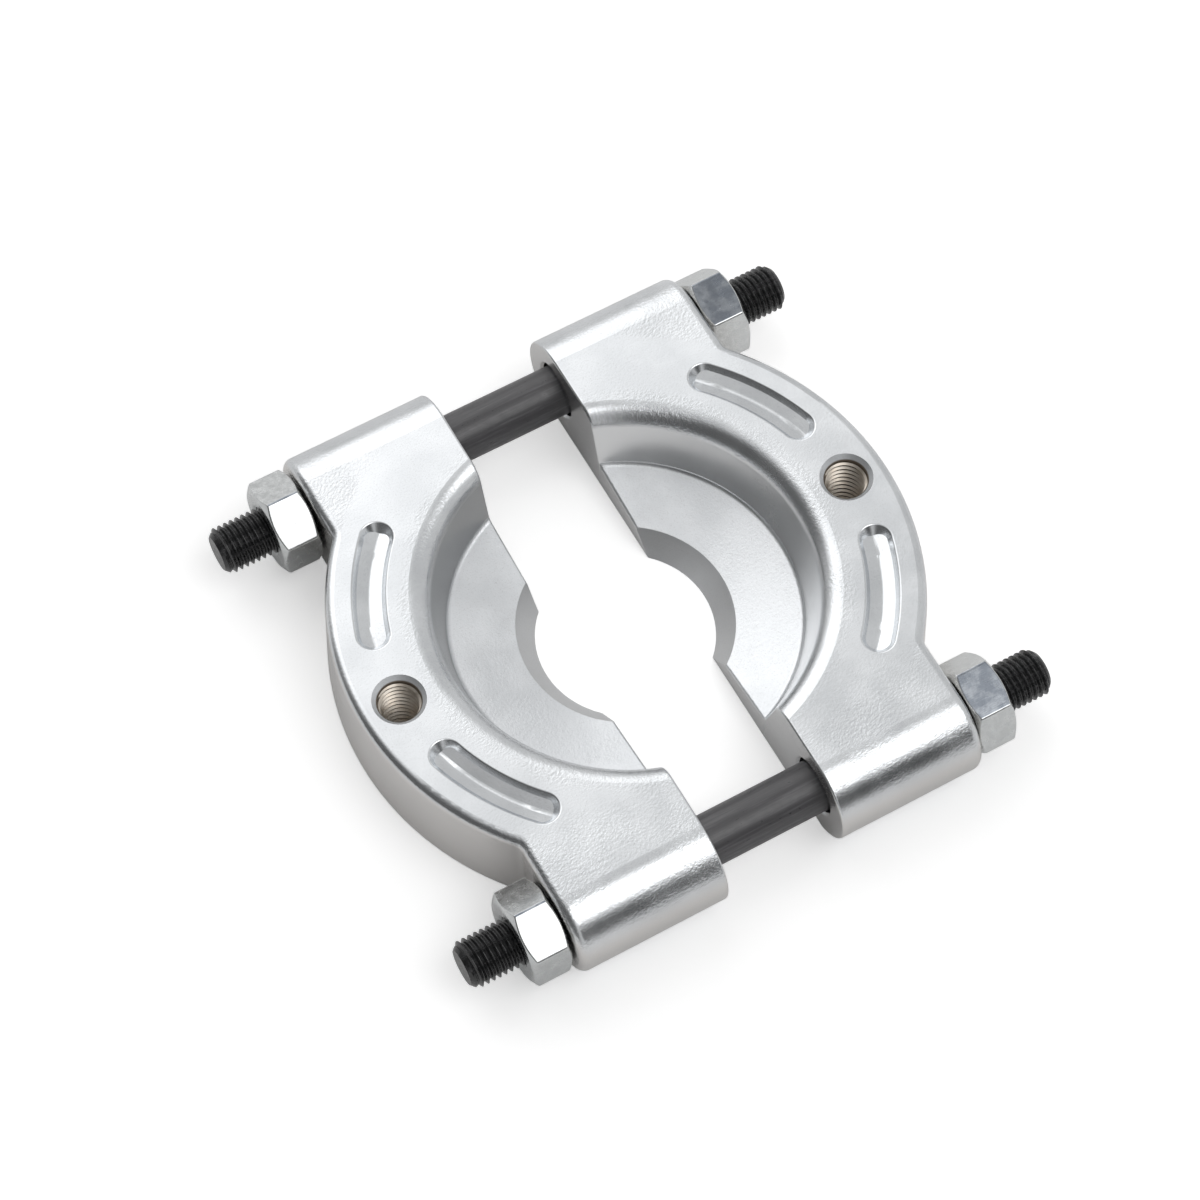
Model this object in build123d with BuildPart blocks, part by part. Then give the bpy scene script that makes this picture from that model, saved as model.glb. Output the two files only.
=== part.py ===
from build123d import *
import math
import os

# Overall sizes in millimetres. X runs along the studs, Y from stud to stud, Z up from the flat underside.
width_over_studs = 111.0
stud_shank_d = 10.5
stud_length = 127.0
jaw_height = 20.0
jaw_gap = 24.8

# Studs and nuts, metric size 10
thread_d = 9.85
thread_length = 34.0
thread_runout = 0.9
stud_tip_chamfer = 1.3
nut_across_flats = 17.0
nut_thickness = 8.4
nut_running_clearance = 0.075
nut_face_clearance = 0.4
nut_chamfer_angle = 30.0
nut_bearing_ratio = 0.95
nut_mouth_chamfer = 0.5

# Turn of each nut about its stud, from a corner that points straight up
rear_left_nut_turn = -3.0
rear_right_nut_turn = -19.0
front_left_nut_turn = 3.0
front_right_nut_turn = -18.0

# Jaw plan: a ring segment, cut off short of its own centre, with a lug at each end
ring_overlap = 8.35
ring_draft_angle = 2.0
parting_setback = 12.4
lug_overhang = 0.45
nut_ring_clearance = 1.75
underside_allowance = 1.2
stud_hole_clearance = 0.65
stud_hole_chamfer = 0.5

# Recess and wedge-shaped ledge, turned about the ring's centre
floor_r = 34.8
floor_outer_z = 7.0
wall_draft_angle = 15.5
bore_bottom_r = 17.8
bore_top_z = 4.8
bore_taper_angle = 38.4

# Tapped hole and arc grooves in the top of each jaw
feature_inset = 9.2
tapped_hole_core_d = 8.5
tapped_hole_mouth_d = 10.6
groove_width = 6.6
groove_depth = 1.9
groove_wall_draft_angle = 38.0
groove_flank_angle = 18.0
groove_start_angle = 17.3
groove_end_angle = 42.1

# Softened corners of the forging
floor_fillet = 1.2
rim_fillet = 4.5
lug_root_fillet = 2.6
outer_edge_fillet = 1.9
parting_edge_fillet = 0.5
groove_mouth_fillet = 0.5
groove_valley_fillet = 1.5

# Places worked out from the sizes above
stud_spacing = width_over_studs - stud_shank_d
stud_y = stud_spacing / 2
stud_axis_z = jaw_height / 2
ring_outer_r = stud_y + ring_overlap
nut_corner_r = nut_across_flats / math.sqrt(3)
nut_face_x = math.sqrt(ring_outer_r**2 - (stud_y - nut_corner_r - nut_ring_clearance) ** 2)
jaw_shift = jaw_gap / 2 - parting_setback
nut_inner_x = jaw_shift + nut_face_x + nut_face_clearance
blank_height = jaw_height + underside_allowance
lug_end_r = blank_height / 2
lug_end_y = stud_y + lug_overhang
lug_root_y = floor_r / 2
lug_outer_y = lug_end_y + lug_end_r
ring_draft = math.tan(math.radians(ring_draft_angle))
ring_top_r = ring_outer_r - jaw_height * ring_draft
ring_blank_r = ring_outer_r + underside_allowance * ring_draft
stud_hole_r = stud_shank_d / 2 + stud_hole_clearance
feature_circle_r = ring_outer_r - feature_inset
wall_top_r = floor_r + (jaw_height - floor_outer_z) * math.tan(math.radians(wall_draft_angle))
bore_slope = math.tan(math.radians(bore_taper_angle))
bore_top_r = bore_bottom_r + bore_top_z * bore_slope
bore_cut_r = bore_bottom_r - underside_allowance * bore_slope
nut_bore_r = thread_d / 2 + nut_running_clearance
nut_bearing_r = nut_bearing_ratio * nut_across_flats / 2
nut_chamfer_height = (nut_corner_r - nut_bearing_r) * math.tan(math.radians(nut_chamfer_angle))
groove_arc = groove_end_angle - groove_start_angle
groove_bottom_r = groove_width / 2 - groove_depth * math.tan(math.radians(groove_wall_draft_angle))
groove_flank_run = groove_depth / math.tan(math.radians(groove_flank_angle))

os.makedirs("parts", exist_ok=True)


def on_outline(edge):
    """True for the edges that run round a jaw's nut faces and outer wall, top and bottom."""
    middle = edge.center()
    away_from_parting = middle.X > parting_setback + lug_end_r / 2
    outside = math.hypot(middle.X, middle.Y) > ring_top_r - lug_root_fillet
    level = middle.Z < 0.01 - underside_allowance or middle.Z > jaw_height - 0.01
    seam = edge.geom_type == GeomType.LINE and abs(edge.tangent_at(0).X) > 0.9
    round_end = math.isclose(abs(middle.Y), lug_outer_y, abs_tol=0.01)
    return away_from_parting and outside and (level or round_end) and not seam


# Space of one arc groove: a round-ended pocket with sloping walls, cut off below by a ring with a V section
with BuildPart() as groove:
    with BuildSketch(Plane.XZ.rotated((0, 0, groove_start_angle))):
        with BuildLine():
            Polyline(
                (feature_circle_r - groove_width / 2, jaw_height),
                (feature_circle_r - groove_bottom_r, jaw_height - groove_depth),
                (feature_circle_r + groove_bottom_r, jaw_height - groove_depth),
                (feature_circle_r + groove_width / 2, jaw_height),
                close=True,
            )
        make_face()
    revolve(axis=Axis.Z, revolution_arc=groove_arc)
    with PolarLocations(feature_circle_r, 2, groove_start_angle, groove_arc, endpoint=True):
        with Locations((0, 0, jaw_height - groove_depth / 2)):
            Cone(groove_bottom_r, groove_width / 2, groove_depth)
    with BuildSketch(Plane.XZ) as groove_section:
        with BuildLine():
            Polyline(
                (feature_circle_r, jaw_height - groove_depth),
                (feature_circle_r + groove_flank_run, jaw_height),
                (feature_circle_r - groove_flank_run, jaw_height),
                close=True,
            )
        make_face()
        fillet(groove_section.vertices().sort_by(Axis.Y)[0], groove_valley_fillet)
    revolve(axis=Axis.Z, mode=Mode.INTERSECT)

# Jaw about its ring's centre: drafted ring and two lugs, rounded along the studs, with the recess turned
# into them. The blank stands proud of the underside by the allowance that is machined off later.
with BuildPart() as jaw:
    with BuildSketch(Plane.XZ):
        with BuildLine():
            Polyline(
                (0, -underside_allowance),
                (ring_blank_r, -underside_allowance),
                (ring_top_r, jaw_height),
                (0, jaw_height),
                close=True,
            )
        make_face()
    revolve(axis=Axis.Z)
    with BuildSketch(Plane.XY.offset(-underside_allowance)):
        with Locations((nut_face_x / 2, 0)):
            Rectangle(nut_face_x, 2 * lug_outer_y)
            Rectangle(nut_face_x, 2 * lug_root_y, mode=Mode.SUBTRACT)
    extrude(amount=blank_height)
    roots = jaw.edges().filter_by(
        lambda edge: math.isclose(edge.center().X, nut_face_x, abs_tol=0.1)
        and abs(edge.center().Y) < lug_end_y
        and 0.1 * jaw_height < edge.center().Z < 0.9 * jaw_height
    )
    fillet(roots, lug_root_fillet)
    with BuildSketch(Plane.YZ) as lug_section:
        with Locations((0, jaw_height - blank_height / 2)):
            SlotOverall(2 * lug_outer_y, blank_height)
    extrude(amount=ring_blank_r, mode=Mode.INTERSECT)
    with BuildSketch(Plane.XZ) as recess_section:
        with BuildLine():
            Polyline(
                (0, -underside_allowance),
                (bore_cut_r, -underside_allowance),
                (bore_top_r, bore_top_z),
                (floor_r, floor_outer_z),
                (wall_top_r, jaw_height),
                (0, jaw_height),
                close=True,
            )
        make_face()
        fillet(recess_section.vertices().group_by(Axis.X)[-2], floor_fillet)
    revolve(axis=Axis.Z, mode=Mode.SUBTRACT)
    rim = jaw.edges().filter_by(GeomType.CIRCLE).filter_by(
        lambda edge: math.isclose(edge.radius, wall_top_r, abs_tol=0.01)
    )
    fillet(rim, rim_fillet)
    split(bisect_by=Plane.YZ.offset(parting_setback))

    # Forging radius round the nut faces and the outer wall
    outline = jaw.edges().filter_by(on_outline)
    fillet(outline, outer_edge_fillet)

    # Machined underside, then the parting face with its edge broken above the ledge and round the lugs
    split(bisect_by=Plane.XY)
    parting = jaw.edges().filter_by(
        lambda edge: math.isclose(edge.center().X, parting_setback, abs_tol=0.01)
        and math.hypot(edge.center().Y, edge.center().Z) > floor_r
    )
    fillet(parting, parting_edge_fillet)

    # Clearance holes for the two studs
    with BuildSketch(Plane.YZ.offset(parting_setback)):
        with Locations((stud_y, stud_axis_z), (-stud_y, stud_axis_z)):
            Circle(stud_hole_r)
    extrude(amount=nut_face_x - parting_setback, mode=Mode.SUBTRACT)
    stud_hole_mouths = jaw.edges().filter_by(GeomType.CIRCLE).filter_by(
        lambda edge: math.isclose(edge.radius, stud_hole_r, abs_tol=0.01)
    )
    chamfer(stud_hole_mouths, stud_hole_chamfer)

    # Tapped hole for a puller leg, countersunk at both faces
    with Locations((feature_circle_r, 0, jaw_height)):
        Hole(tapped_hole_core_d / 2, depth=jaw_height)
    tapped_hole_mouths = jaw.edges().filter_by(GeomType.CIRCLE).filter_by(
        lambda edge: math.isclose(edge.radius, tapped_hole_core_d / 2, abs_tol=0.01)
    )
    chamfer(tapped_hole_mouths, (tapped_hole_mouth_d - tapped_hole_core_d) / 2)

    # Grooves, one each side of the tapped hole, with their mouths softened
    add(groove.part, mode=Mode.SUBTRACT)
    add(mirror(groove.part, about=Plane.XZ, mode=Mode.PRIVATE), mode=Mode.SUBTRACT)
    groove_mouths = jaw.edges().filter_by(GeomType.CIRCLE).filter_by(
        lambda edge: math.isclose(edge.center().Z, jaw_height, abs_tol=0.01)
        and abs(math.hypot(edge.center().X, edge.center().Y) - feature_circle_r) < 0.75 * groove_width
        and abs(edge.center().Y) > tapped_hole_mouth_d
    )
    fillet(groove_mouths, groove_mouth_fillet)

# The shown opening: each jaw moved out along the studs, the left one turned half a turn
with BuildPart() as right_jaw:
    with Locations((jaw_shift, 0, 0)):
        add(jaw.part)
right_jaw.part.label = "right_jaw"
export_step(right_jaw.part, "parts/right_jaw.step")

with BuildPart() as left_jaw:
    with Locations((-jaw_shift, 0, 0)):
        add(jaw.part, rotation=(0, 0, 180))
left_jaw.part.label = "left_jaw"
export_step(left_jaw.part, "parts/left_jaw.step")

# Stud with a plain shank, a short run-out and a threaded length at each end
with BuildPart() as stud:
    with BuildSketch(Plane.XZ):
        with BuildLine():
            Polyline(
                (0, 0),
                (0, stud_shank_d / 2),
                (stud_length / 2 - thread_length, stud_shank_d / 2),
                (stud_length / 2 - thread_length + thread_runout, thread_d / 2),
                (stud_length / 2 - stud_tip_chamfer, thread_d / 2),
                (stud_length / 2, thread_d / 2 - stud_tip_chamfer),
                (stud_length / 2, 0),
                close=True,
            )
        make_face()
    revolve(axis=Axis.X)
    mirror(about=Plane.YZ)

with BuildPart() as rear_stud:
    with Locations((0, stud_y, stud_axis_z)):
        add(stud.part)
rear_stud.part.label = "rear_stud"
export_step(rear_stud.part, "parts/rear_stud.step")

with BuildPart() as front_stud:
    with Locations((0, -stud_y, stud_axis_z)):
        add(stud.part)
front_stud.part.label = "front_stud"
export_step(front_stud.part, "parts/front_stud.step")

# Hexagon nut, standing on its face with one corner along X, chamfered on both faces
with BuildPart() as nut:
    with BuildSketch():
        RegularPolygon(nut_across_flats / 2, 6, major_radius=False)
    extrude(amount=nut_thickness)
    with BuildSketch(Plane.XZ):
        with BuildLine():
            Polyline(
                (0, 0),
                (nut_bearing_r, 0),
                (nut_corner_r, nut_chamfer_height),
                (nut_corner_r, nut_thickness - nut_chamfer_height),
                (nut_bearing_r, nut_thickness),
                (0, nut_thickness),
                close=True,
            )
        make_face()
    revolve(axis=Axis.Z, mode=Mode.INTERSECT)
    Hole(nut_bore_r)
    nut_mouths = nut.edges().filter_by(GeomType.CIRCLE).filter_by(
        lambda edge: math.isclose(edge.radius, nut_bore_r, abs_tol=0.01)
    )
    chamfer(nut_mouths, nut_mouth_chamfer)

# Each nut sits outside its lug, with a corner turned a little from the vertical
with BuildPart() as rear_left_nut:
    with Locations(Plane((-nut_inner_x, stud_y, stud_axis_z), x_dir=(0, 0, 1), z_dir=(-1, 0, 0))):
        add(nut.part, rotation=(0, 0, rear_left_nut_turn))
rear_left_nut.part.label = "rear_left_nut"
export_step(rear_left_nut.part, "parts/rear_left_nut.step")

with BuildPart() as front_left_nut:
    with Locations(Plane((-nut_inner_x, -stud_y, stud_axis_z), x_dir=(0, 0, 1), z_dir=(-1, 0, 0))):
        add(nut.part, rotation=(0, 0, front_left_nut_turn))
front_left_nut.part.label = "front_left_nut"
export_step(front_left_nut.part, "parts/front_left_nut.step")

with BuildPart() as rear_right_nut:
    with Locations(Plane((nut_inner_x, stud_y, stud_axis_z), x_dir=(0, 0, 1), z_dir=(1, 0, 0))):
        add(nut.part, rotation=(0, 0, rear_right_nut_turn))
rear_right_nut.part.label = "rear_right_nut"
export_step(rear_right_nut.part, "parts/rear_right_nut.step")

with BuildPart() as front_right_nut:
    with Locations(Plane((nut_inner_x, -stud_y, stud_axis_z), x_dir=(0, 0, 1), z_dir=(1, 0, 0))):
        add(nut.part, rotation=(0, 0, front_right_nut_turn))
front_right_nut.part.label = "front_right_nut"
export_step(front_right_nut.part, "parts/front_right_nut.step")
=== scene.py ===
import math

import bmesh
import bpy
from mathutils import Matrix, Vector


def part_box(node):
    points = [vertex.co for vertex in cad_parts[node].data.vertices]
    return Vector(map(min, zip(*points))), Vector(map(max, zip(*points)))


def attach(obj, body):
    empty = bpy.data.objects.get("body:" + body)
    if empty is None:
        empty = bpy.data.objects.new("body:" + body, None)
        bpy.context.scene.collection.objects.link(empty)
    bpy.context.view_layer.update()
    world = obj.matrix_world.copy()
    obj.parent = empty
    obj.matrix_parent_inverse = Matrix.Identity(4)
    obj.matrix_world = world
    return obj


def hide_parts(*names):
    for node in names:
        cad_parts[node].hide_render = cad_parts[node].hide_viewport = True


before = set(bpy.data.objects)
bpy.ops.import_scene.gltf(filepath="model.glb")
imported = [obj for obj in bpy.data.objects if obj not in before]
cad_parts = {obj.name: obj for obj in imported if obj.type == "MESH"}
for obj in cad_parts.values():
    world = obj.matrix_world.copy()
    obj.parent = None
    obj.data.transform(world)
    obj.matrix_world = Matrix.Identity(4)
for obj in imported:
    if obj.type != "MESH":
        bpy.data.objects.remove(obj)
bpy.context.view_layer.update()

# Sizes of the frame's own solids, in metres and degrees
JAW_HEIGHT = 0.020
STUD_AXIS_Z = 0.010
STUD_Y = 0.05025
STUD_HALF_LENGTH = 0.0635
SHANK_RADIUS = 0.00525
THREAD_RADIUS = 0.004925
THREAD_START = 0.0295
RUNOUT_LENGTH = 0.0009
TIP_CHAMFER = 0.0013
TAPPED_HOLE_X = 0.0494
TAPPED_HOLE_RADIUS = 0.00425
TAPPED_MOUTH_RADIUS = 0.0053
NUT_FLATS = 0.017
NUT_BEARING_RADIUS = 0.475 * NUT_FLATS
NUT_BORE_RADIUS = 0.005
NUT_MOUTH = 0.0005
NUT_CHAMFER_ANGLE = 30.0
NUT_TURNS = {
    "rear_left_nut": -3.0,
    "rear_right_nut": -19.0,
    "front_left_nut": 3.0,
    "front_right_nut": -18.0,
}

# Sizes of the details that only this scene has, in metres
THREAD_PITCH = 0.00125
THREAD_DEPTH = 0.613 * THREAD_PITCH
TAPPED_PITCH = 0.0015
TAPPED_THREAD_ROOT = TAPPED_HOLE_RADIUS + 0.0002
TAPPED_THREAD_CREST = TAPPED_HOLE_RADIUS - 0.00045
TAPPED_THREAD_MARGIN = 0.0012
NUT_CORNER_ROUND = 0.0006
NUT_EDGE_ROUND = 0.00024

# Thread sections: share of a turn and of the depth on a stud, radius and rise in a tapped hole
STUD_SECTION = ((0.0, 0.0), (0.08, 0.02), (0.4, 0.9), (0.54, 1.0), (0.68, 0.9), (0.94, 0.1))
TAPPED_SECTION = (
    (TAPPED_THREAD_ROOT, -0.00047),
    (TAPPED_THREAD_CREST, -0.00008),
    (TAPPED_THREAD_CREST, 0.00008),
    (TAPPED_THREAD_ROOT, 0.00047),
)

# Soft borders between finishes and between painted shades, each from where it starts to where it ends, in
# metres
FRONT_LUG_Y = (-0.046, -0.034)
RIM_START_RADIUS = (0.036, 0.038)
RIM_END_RADIUS = (0.042, 0.045)
OUTER_EDGE_RADIUS = (0.0560, 0.0570)
RECESS_RADIUS = (0.046, 0.050)
LEDGE_RADIUS = (0.0345, 0.0352)
LEDGE_Z = (0.0072, 0.0078)
BORE_RADIUS = (0.0215, 0.0219)
BORE_Z = (0.0046, 0.0049)
PARTING_X = (0.01242, 0.01252)
UNDERSIDE_Z = (0.00002, 0.00006)
# LEFT_TO_RIGHT_X and RECESS_RADIUS only place the walls' painted shade
LEFT_TO_RIGHT_X = (-0.005, 0.005)
TAPPED_RADIUS = (TAPPED_HOLE_RADIUS + 0.0001, TAPPED_HOLE_RADIUS + 0.0003)
MOUTH_RADIUS = (TAPPED_MOUTH_RADIUS - 0.0001, TAPPED_MOUTH_RADIUS)
SHANK_X = (THREAD_START, THREAD_START + 0.001)

# The same for the upright part of a surface's normal, which places the painted shade on steep jaw walls and
# on the nuts' level faces
STEEP_NORMAL_Z = (0.20, 0.60)
TOP_NORMAL_Z = (0.90, 0.96)


# Materials


class Graph:
    """The node tree of a material or world, with short calls for the few kinds of node used here."""

    def __init__(self, owner):
        owner.use_nodes = True
        self.owner = owner
        self.tree = owner.node_tree
        coordinates = self.add("TexCoord")
        self.place = coordinates.outputs["Object"]
        self.facing = coordinates.outputs["Normal"]
        self.direction = coordinates.outputs["Generated"]

    def add(self, kind):
        return self.tree.nodes.new("ShaderNode" + kind)

    def plug(self, socket, value):
        if isinstance(value, bpy.types.NodeSocket):
            self.tree.links.new(value, socket)
        else:
            socket.default_value = value

    def split(self, vector):
        node = self.add("SeparateXYZ")
        self.plug(node.inputs[0], vector)
        return node.outputs

    def math(self, operation, *values):
        node = self.add("Math")
        node.operation = operation
        for socket, value in zip(node.inputs, values):
            self.plug(socket, value)
        return node.outputs[0]

    def plus(self, a, b):
        return self.math("ADD", a, b)

    def times(self, a, b):
        return self.math("MULTIPLY", a, b)

    def largest(self, first, *others):
        for other in others:
            first = self.math("MAXIMUM", first, other)
        return first

    def length(self, a, b):
        return self.math("SQRT", self.plus(self.times(a, a), self.times(b, b)))

    def ramp(self, value, low, high, at_low=0.0, at_high=1.0):
        """A smooth step from at_low to at_high while value goes from low to high."""
        node = self.add("MapRange")
        node.interpolation_type = "SMOOTHSTEP"
        self.plug(node.inputs["Value"], value)
        self.plug(node.inputs["From Min"], low)
        self.plug(node.inputs["From Max"], high)
        self.plug(node.inputs["To Min"], at_low)
        self.plug(node.inputs["To Max"], at_high)
        return node.outputs["Result"]

    def above(self, value, border):
        """0 before a border and 1 beyond it."""
        return self.ramp(value, *border)

    def below(self, value, border):
        """1 before a border and 0 beyond it."""
        return self.ramp(value, *border, 1.0, 0.0)

    def stretch(self, scale):
        node = self.add("Mapping")
        self.plug(node.inputs["Scale"], scale)
        self.plug(node.inputs["Vector"], self.place)
        return node.outputs[0]

    def noise(self, scale, detail=3.0, roughness=0.55, place=None):
        node = self.add("TexNoise")
        self.plug(node.inputs["Vector"], place or self.place)
        self.plug(node.inputs["Scale"], scale)
        self.plug(node.inputs["Detail"], detail)
        self.plug(node.inputs["Roughness"], roughness)
        return node.outputs["Fac"]

    def mix(self, factor, a, b):
        node = self.add("Mix")
        node.data_type = "RGBA"
        self.plug(node.inputs["Factor"], factor)
        self.plug(node.inputs["A"], a)
        self.plug(node.inputs["B"], b)
        return node.outputs["Result"]

    def stain(self, tone, colour, mask, share):
        """The tone, with a share of another colour where mask is 1."""
        return self.mix(self.times(mask, share), tone, colour)

    def bump(self, height, distance, strength=1.0, normal=None):
        node = self.add("Bump")
        self.plug(node.inputs["Distance"], distance)
        self.plug(node.inputs["Strength"], strength)
        self.plug(node.inputs["Height"], height)
        if normal:
            self.plug(node.inputs["Normal"], normal)
        return node.outputs[0]

    def shade(self, **sockets):
        """Set the shader's sockets, with _ for a space in their names, and return the material."""
        shader = self.tree.nodes["Principled BSDF"]
        for name, value in sockets.items():
            self.plug(shader.inputs[name.replace("_", " ")], value)
        return self.owner


def colour(red, green, blue):
    return (red, green, blue, 1.0)


def grey(level, warmth=0.0):
    return colour(level * (1 + warmth), level, level * (1 - warmth))


def plated_forging():
    """Satin plating on a forged skin: coarser on rims and front lugs, duller on machined faces, with painted
    shade and light on the steep walls.
    """
    g = Graph(bpy.data.materials.new("plated_forging"))
    x, y, z = g.split(g.place)
    from_middle = g.math("ABSOLUTE", x)
    radius = g.length(x, y)
    from_hole = g.length(g.plus(from_middle, -TAPPED_HOLE_X), y)
    front_lug = g.below(y, FRONT_LUG_Y)
    rim = g.times(g.above(radius, RIM_START_RADIUS), g.below(radius, RIM_END_RADIUS))
    outer_edge = g.above(radius, OUTER_EDGE_RADIUS)
    ledge = g.times(g.below(z, LEDGE_Z), g.below(radius, LEDGE_RADIUS))
    bore = g.times(g.below(z, BORE_Z), g.below(radius, BORE_RADIUS))
    machined = g.largest(bore, g.below(from_middle, PARTING_X), g.below(z, UNDERSIDE_Z))
    # Steep faces, where the painted shade and light of the walls go
    steep = g.below(g.math("ABSOLUTE", g.split(g.facing)[2]), STEEP_NORMAL_Z)

    patches = g.noise(55.0, 4.0)
    speckle = g.noise(3600.0, 3.0, 0.65)
    peel = g.noise(1650.0, 3.0, 0.65)
    rings = g.noise(1.0, 2.0, 0.5, g.stretch((20.0, 20.0, 6500.0)))

    # Painted shade and light on the steep walls: the left jaw's recess wall painted dark, the right jaw's
    # painted pale, the outer walls a warmer grey
    recess_painted_shade = g.mix(g.above(x, LEFT_TO_RIGHT_X), grey(0.24), grey(0.85))
    wall = g.mix(g.below(radius, RECESS_RADIUS), grey(0.74, 0.035), recess_painted_shade)
    tone = g.mix(g.ramp(patches, 0.35, 0.68), grey(0.72, -0.026), grey(0.84, -0.022))
    tone = g.stain(tone, grey(0.46, 0.01), g.ramp(speckle, 0.54, 0.72), 0.40)
    tone = g.stain(tone, wall, steep, 0.8)
    tone = g.stain(tone, grey(0.58, 0.005), machined, 0.6)
    tone = g.stain(tone, colour(0.20, 0.165, 0.13), g.below(from_hole, TAPPED_RADIUS), 1.0)

    rough = g.ramp(patches, 0.3, 0.75, 0.21, 0.27)
    rough = g.plus(rough, g.times(ledge, 0.12))
    rough = g.plus(rough, g.times(g.plus(speckle, -0.5), 0.10))
    rough = g.plus(rough, g.times(g.below(from_hole, MOUTH_RADIUS), 0.30))

    coarse = g.largest(front_lug, rim, outer_edge)
    grain = g.plus(g.plus(g.times(coarse, 0.52), g.times(ledge, 0.34)), 0.08)
    grain = g.times(grain, g.ramp(g.noise(75.0, 2.0), 0.35, 0.65, 0.35, 1.25))
    grain = g.times(grain, g.math("SUBTRACT", 1.0, machined))
    normal = g.bump(peel, 0.00013, grain)
    normal = g.bump(speckle, 0.00004, grain, normal)
    normal = g.bump(rings, 0.00003, machined, normal)
    return g.shade(Base_Color=tone, Metallic=1.0, Roughness=rough, Normal=normal)


def plated_nut():
    """Zinc plating, mottled, with faint drawing marks, and painted shade that makes a face that lies level a
    darker blue-grey.
    """
    g = Graph(bpy.data.materials.new("plated_nut"))
    patches = g.noise(620.0, 4.0, 0.6)
    clouds = g.noise(300.0, 3.0)
    speckle = g.noise(3400.0, 2.0)
    marks = g.noise(1.0, 3.0, 0.6, g.stretch((260.0, 3200.0, 3200.0)))
    pale = g.mix(g.ramp(patches, 0.35, 0.65), colour(0.66, 0.675, 0.675), colour(0.75, 0.765, 0.765))
    # Painted shade: a face that lies level is painted a darker, clouded blue-grey
    painted_level_shade = g.mix(g.ramp(clouds, 0.38, 0.62), colour(0.20, 0.22, 0.25), colour(0.33, 0.352, 0.38))
    tone = g.mix(g.above(g.split(g.facing)[2], TOP_NORMAL_Z), pale, painted_level_shade)
    tone = g.stain(tone, colour(0.38, 0.41, 0.45), g.ramp(marks, 0.55, 0.8), 0.3)
    tone = g.stain(tone, colour(0.36, 0.38, 0.41), g.ramp(speckle, 0.55, 0.75), 0.25)
    rough = g.plus(g.ramp(patches, 0.3, 0.7, 0.16, 0.26), g.times(marks, 0.05))
    normal = g.bump(speckle, 0.000012, 0.5, g.bump(marks, 0.00002, 0.5))
    return g.shade(Base_Color=tone, Metallic=1.0, Roughness=rough, Normal=normal)


def black_oxide():
    """Oiled black finish, paler and streaked lengthwise on the shank, blacker and glossier on the thread."""
    g = Graph(bpy.data.materials.new("black_oxide"))
    streaks = g.noise(1.0, 4.0, 0.65, g.stretch((60.0, 1500.0, 1500.0)))
    blotches = g.noise(700.0, 4.0, 0.65)
    shank = g.below(g.math("ABSOLUTE", g.split(g.place)[0]), SHANK_X)
    streaked = g.times(g.ramp(streaks, 0.45, 0.75), g.ramp(shank, 0.0, 1.0, 0.35, 1.0))
    tone = g.mix(shank, grey(0.010, -0.05), colour(0.062, 0.0605, 0.064))
    tone = g.mix(streaked, tone, colour(0.125, 0.122, 0.129))
    tone = g.stain(tone, grey(0.06, 0.03), g.ramp(blotches, 0.6, 0.8), 0.3)
    rough = g.times(g.plus(blotches, -0.5), 0.30)
    rough = g.plus(rough, g.ramp(streaks, 0.3, 0.7, 0.30, 0.42))
    rough = g.plus(rough, g.ramp(shank, 0.0, 1.0, -0.12, 0.0))
    normal = g.bump(blotches, 0.00002, shank, g.bump(streaks, 0.00002, 0.5))
    return g.shade(Base_Color=tone, Metallic=0.0, Roughness=rough, Normal=normal, Specular_IOR_Level=0.65)


def tapped_steel():
    """Bare cut thread, tanned by oil."""
    g = Graph(bpy.data.materials.new("tapped_steel"))
    oil = g.noise(420.0, 3.0)
    tone = g.mix(g.ramp(oil, 0.3, 0.7), colour(0.58, 0.51, 0.43), colour(0.80, 0.74, 0.66))
    rough = g.ramp(oil, 0.3, 0.7, 0.30, 0.45)
    return g.shade(Base_Color=tone, Metallic=1.0, Roughness=rough, Normal=g.bump(oil, 0.00003, 0.3))


FORGING = plated_forging()
NUT = plated_nut()
OXIDE = black_oxide()
TAPPED = tapped_steel()


# Pieces made here


def finish_mesh(name, piece, material, sharp_angle):
    """Turn a bmesh into an object, smooth except where faces meet at more than sharp_angle degrees."""
    mesh = bpy.data.meshes.new(name)
    bmesh.ops.recalc_face_normals(piece, faces=piece.faces)
    piece.to_mesh(mesh)
    piece.free()
    mesh.shade_smooth()
    mesh.set_sharp_from_angle(angle=math.radians(sharp_angle))
    mesh.materials.append(material)
    made = bpy.data.objects.new(name, mesh)
    bpy.context.scene.collection.objects.link(made)
    return made


def stud_radius(x, depth):
    """Radius of a stud at x, where the full thread is depth deep."""
    from_middle = abs(x)
    into_thread = from_middle - THREAD_START
    if into_thread <= 0:
        return SHANK_RADIUS
    step = min(into_thread / RUNOUT_LENGTH, 1.0)
    envelope = SHANK_RADIUS + (THREAD_RADIUS - SHANK_RADIUS) * step
    fade = min(max((into_thread - RUNOUT_LENGTH) / THREAD_PITCH, 0.0), 1.0)
    tip = THREAD_RADIUS - TIP_CHAMFER + (STUD_HALF_LENGTH - from_middle)
    return min(envelope - depth * fade, max(tip, 0.0005))


def close_stud_end(piece, side):
    """Cut a stud off square at one end and close the cut."""
    everything = piece.verts[:] + piece.edges[:] + piece.faces[:]
    end = (side * STUD_HALF_LENGTH, 0, 0)
    bmesh.ops.bisect_plane(piece, geom=everything, plane_co=end, plane_no=(side, 0, 0), clear_outer=True)
    last_x = STUD_HALF_LENGTH - 1e-7
    rim = [edge for edge in piece.edges if edge.is_boundary and side * edge.verts[0].co.x > last_x]
    bmesh.ops.holes_fill(piece, edges=rim, sides=0)


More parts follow.
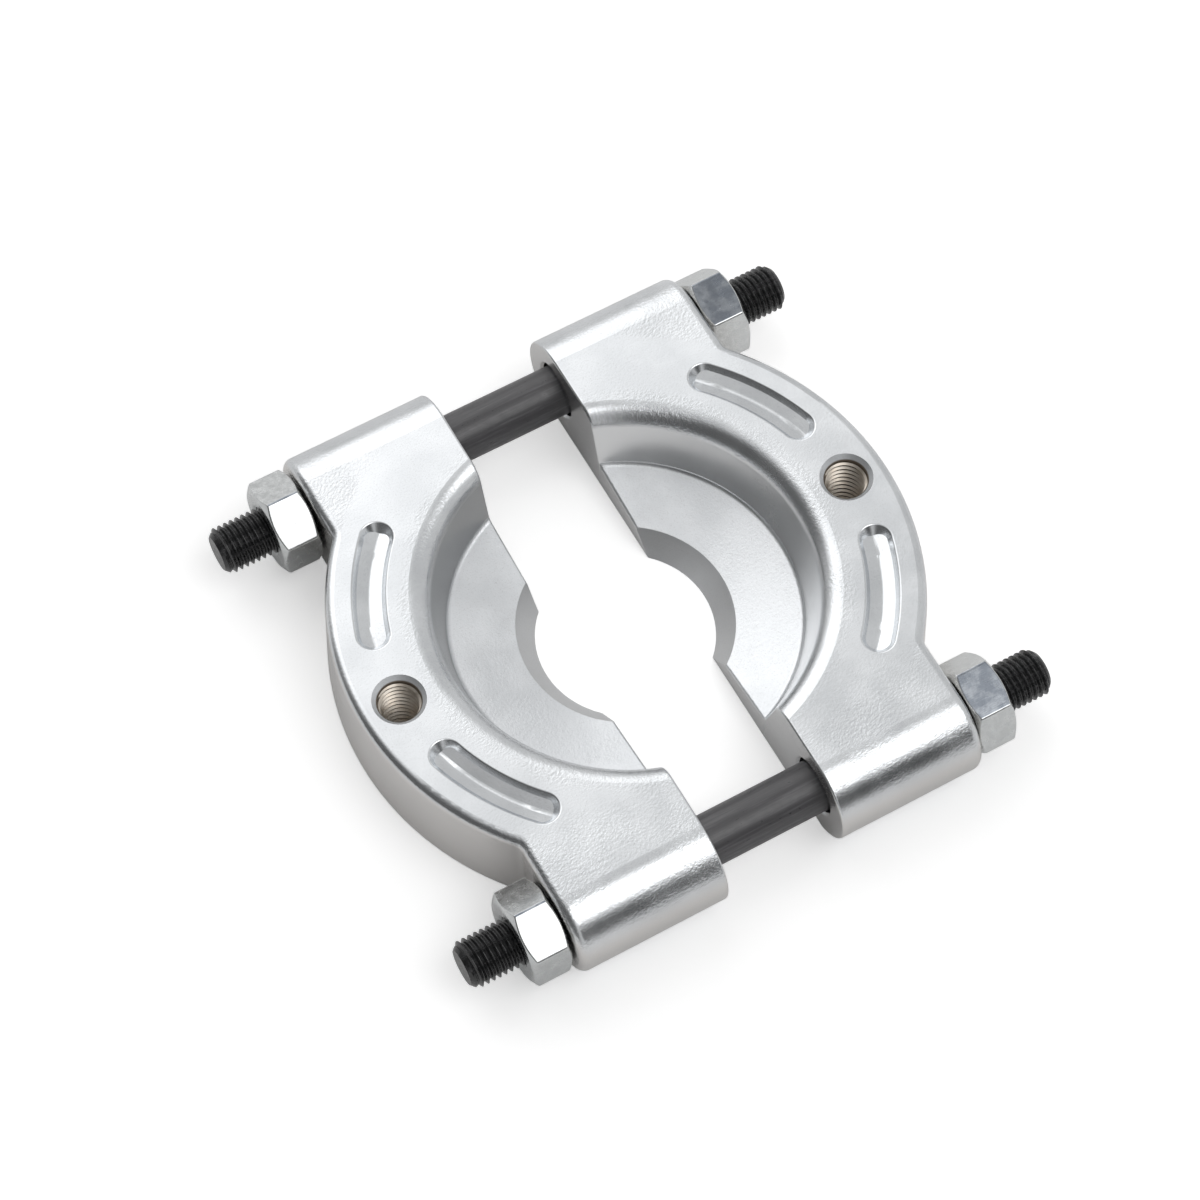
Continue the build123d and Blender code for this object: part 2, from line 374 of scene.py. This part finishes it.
def threaded_stud(name, y):
    """A stud with a rolled right-hand thread at both ends, its rows of points wound along the helix."""
    around = 60
    turns = math.ceil(2 * STUD_HALF_LENGTH / THREAD_PITCH) + 3
    start = -STUD_HALF_LENGTH - 2 * THREAD_PITCH
    piece = bmesh.new()
    rows = []
    for turn in range(turns):
        for phase, share in STUD_SECTION:
            row = []
            for step in range(around):
                angle = 2 * math.pi * step / around
                x = start + THREAD_PITCH * (turn + phase + step / around)
                radius = stud_radius(x, THREAD_DEPTH * share)
                row.append(piece.verts.new((x, radius * math.cos(angle), radius * math.sin(angle))))
            rows.append(row)

    # Each row runs on into the row that is one turn further along
    a_turn = len(STUD_SECTION)
    wound = [row + [after[0]] for row, after in zip(rows, rows[a_turn:])]
    for lower, upper in zip(wound, wound[1:]):
        for step in range(around):
            piece.faces.new((lower[step], lower[step + 1], upper[step + 1], upper[step]))
    for side in (-1, 1):
        close_stud_end(piece, side)
    bmesh.ops.delete(piece, geom=[v for v in piece.verts if not v.link_faces], context="VERTS")
    bmesh.ops.translate(piece, verts=piece.verts, vec=(0, y, STUD_AXIS_Z))
    return finish_mesh(name, piece, OXIDE, 28)


def hexagon_radius(angle):
    """Distance from the middle to the outline of the nut's rounded hexagon, angle counted from a corner."""
    from_corner = math.remainder(angle, math.pi / 3)
    apothem = NUT_FLATS / 2
    from_flat = math.pi / 6 - abs(from_corner)
    round_start = (apothem - NUT_CORNER_ROUND) * math.tan(math.pi / 6)
    if apothem * math.tan(from_flat) <= round_start:
        return apothem / math.cos(from_flat)
    centre = (apothem - NUT_CORNER_ROUND) / math.cos(math.pi / 6)
    across = centre * math.sin(from_corner)
    return centre * math.cos(from_corner) + math.sqrt(NUT_CORNER_ROUND**2 - across**2)


def nut_angles():
    """Angles round the nut, close together where its corners are rounded."""
    on_corner = [-2.2, -1.5, -0.75, 0.0, 0.75, 1.5, 2.2]
    on_flat = [5.0, 10.0, 15.0, 20.0, 25.0, 30.0, 35.0, 40.0, 45.0, 50.0, 55.0]
    return [math.radians(60 * side + step) for side in range(6) for step in on_corner + on_flat]


def nut_profile(outer, thickness):
    """Radius and height of the nut's section out to one radius of its outline, its edges rounded."""
    chamfer = (outer - NUT_BEARING_RADIUS) * math.tan(math.radians(NUT_CHAMFER_ANGLE))
    half = [
        Vector((NUT_BORE_RADIUS, NUT_MOUTH)),
        Vector((NUT_BORE_RADIUS + NUT_MOUTH, 0)),
        Vector((NUT_BEARING_RADIUS, 0)),
        Vector((outer, chamfer)),
    ]
    corners = half + [Vector((point.x, thickness - point.y)) for point in reversed(half)]
    points = [corners[0]]
    for before, corner, after in zip(corners, corners[1:], corners[2:]):
        start = corner + NUT_EDGE_ROUND * (before - corner).normalized()
        end = corner + NUT_EDGE_ROUND * (after - corner).normalized()
        for t in (0.0, 1 / 3, 2 / 3, 1.0):
            points.append((1 - t) ** 2 * start + 2 * t * (1 - t) * corner + t**2 * end)
    return points + [corners[-1]]


def hexagon_nut(node_name, turn):
    """A nut with rounded edges in the place of its CAD node, turned from a corner straight up."""
    low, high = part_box(node_name)
    middle = (low + high) / 2
    side = math.copysign(1.0, middle.x)
    inner_face = min(abs(low.x), abs(high.x))
    piece = bmesh.new()
    columns = []
    for angle in nut_angles():
        about = angle + math.radians(turn)
        column = []
        for radius, height in nut_profile(hexagon_radius(angle), high.x - low.x):
            place = (
                side * (inner_face + height),
                middle.y - side * radius * math.sin(about),
                middle.z + radius * math.cos(about),
            )
            column.append(piece.verts.new(place))
        columns.append(column)
    for first, second in zip(columns, columns[1:] + columns[:1]):
        for index in range(len(first)):
            after = (index + 1) % len(first)
            piece.faces.new((first[index], second[index], second[after], first[after]))
    nut = finish_mesh(node_name + "_plated", piece, NUT, 40)
    nut.modifiers.new("flat faces", "WEIGHTED_NORMAL").keep_sharp = True
    return nut


def tapped_thread(name, x):
    """The ridge of a right-hand thread on the wall of a tapped hole, tapering off at both ends."""
    around = 48
    low, high = TAPPED_THREAD_MARGIN, JAW_HEIGHT - TAPPED_THREAD_MARGIN
    count = int((high - low) / TAPPED_PITCH * around)
    piece = bmesh.new()
    rings = []
    for step in range(count + 1):
        angle = 2 * math.pi * step / around
        height = low + TAPPED_PITCH * step / around
        grown = min(step, count - step, around // 2) / (around // 2)
        ring = []
        for radius, rise in TAPPED_SECTION:
            reach = TAPPED_THREAD_ROOT + (radius - TAPPED_THREAD_ROOT) * max(grown, 0.02)
            place = (x + reach * math.cos(angle), reach * math.sin(angle), height + rise)
            ring.append(piece.verts.new(place))
        rings.append(ring)
    for first, second in zip(rings, rings[1:]):
        for corner in range(4):
            after = (corner + 1) % 4
            piece.faces.new((first[corner], first[after], second[after], second[corner]))
    piece.faces.new(rings[0])
    piece.faces.new(rings[-1][::-1])
    return finish_mesh(name, piece, TAPPED, 50)


for side, y in (("rear", STUD_Y), ("front", -STUD_Y)):
    stud = threaded_stud(side + "_threaded_stud", y)
    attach(stud, "studs")
    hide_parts(side + "_stud")

for side, x in (("left", -TAPPED_HOLE_X), ("right", TAPPED_HOLE_X)):
    thread = tapped_thread(side + "_tapped_thread", x)
    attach(thread, side + "_jaw")

for name, turn in NUT_TURNS.items():
    nut = hexagon_nut(name, turn)
    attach(nut, name)
    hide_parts(name)

for name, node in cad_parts.items():
    material = FORGING if name.endswith("_jaw") else NUT if name.endswith("_nut") else OXIDE
    node.data.materials.clear()
    node.data.materials.append(material)


# Camera at the photograph's viewing angle


def toward(azimuth, elevation):
    """The unit vector that points to an azimuth and elevation in degrees."""
    azimuth, elevation = math.radians(azimuth), math.radians(elevation)
    level = math.cos(elevation)
    return (math.cos(azimuth) * level, math.sin(azimuth) * level, math.sin(elevation))


def aim(looking, distance, right_shift, up_shift):
    """The matrix of a camera that looks past the origin from a distance, moved sideways and up."""
    forward = Vector(looking)
    right = forward.cross(Vector((0, 0, 1))).normalized()
    up = right.cross(forward)
    place = -distance * forward + right_shift * right + up_shift * up
    return Matrix.Translation(place) @ Matrix((right, up, -forward)).transposed().to_4x4()


camera_data = bpy.data.cameras.new("camera")
camera_data.lens = 120.6
camera_data.sensor_width = 36.0
camera = bpy.data.objects.new("camera", camera_data)
camera.matrix_world = aim(toward(60.6, -62.0), 0.790, -0.0050, 0.0068)
bpy.context.scene.collection.objects.link(camera)
bpy.context.scene.camera = camera


# Floor and studio light


def floor():
    """A plain pale floor, slightly uneven in tone, grey in the metal's reflections and white to look at."""
    half_size = 2.5
    below_object = 0.00003
    plane = bmesh.new()
    bmesh.ops.create_grid(plane, x_segments=1, y_segments=1, size=half_size)
    bmesh.ops.translate(plane, verts=plane.verts, vec=(0, 0, -below_object))
    mesh = bpy.data.meshes.new("floor")
    plane.to_mesh(mesh)
    plane.free()
    g = Graph(bpy.data.materials.new("floor"))
    tone = g.mix(g.noise(6.0, 2.0), grey(0.87), grey(0.90))
    glow = g.times(g.add("LightPath").outputs["Is Camera Ray"], 0.42)
    g.shade(Base_Color=tone, Roughness=0.85, Emission_Color=grey(1.0), Emission_Strength=glow)
    mesh.materials.append(g.owner)
    piece = bpy.data.objects.new("floor", mesh)
    bpy.context.scene.collection.objects.link(piece)


def patch(g, azimuth, elevation, inner, outer):
    """A round patch of the sky, 1 within inner degrees of its middle and 0 beyond outer."""
    nearness = g.add("VectorMath")
    nearness.operation = "DOT_PRODUCT"
    g.plug(nearness.inputs[0], g.direction)
    g.plug(nearness.inputs[1], toward(azimuth, elevation))
    border = (math.cos(math.radians(outer)), math.cos(math.radians(inner)))
    return g.above(nearness.outputs["Value"], border)


def studio():
    """A pale room with a large soft light behind, a small one in front, a dark left side and a dark band."""
    world = bpy.data.worlds.new("studio")
    bpy.context.scene.world = world
    g = Graph(world)
    large = patch(g, 90, 42, 17, 33)
    small = patch(g, -53, 62, 13, 23)
    dark = patch(g, 190, 12, 39, 70)
    band = patch(g, -73, 20, 9, 24)
    level = g.math("MULTIPLY_ADD", large, 0.95, 0.62)
    level = g.times(level, g.math("MULTIPLY_ADD", dark, -0.81, 1.0))
    level = g.times(level, g.math("MULTIPLY_ADD", band, -0.9, 1.0))
    level = g.math("MULTIPLY_ADD", small, 1.8, level)
    back = g.tree.nodes["Background"]
    g.plug(back.inputs["Color"], grey(1.0))
    g.plug(back.inputs["Strength"], level)


floor()
studio()
bpy.context.scene.view_settings.view_transform = "Standard"
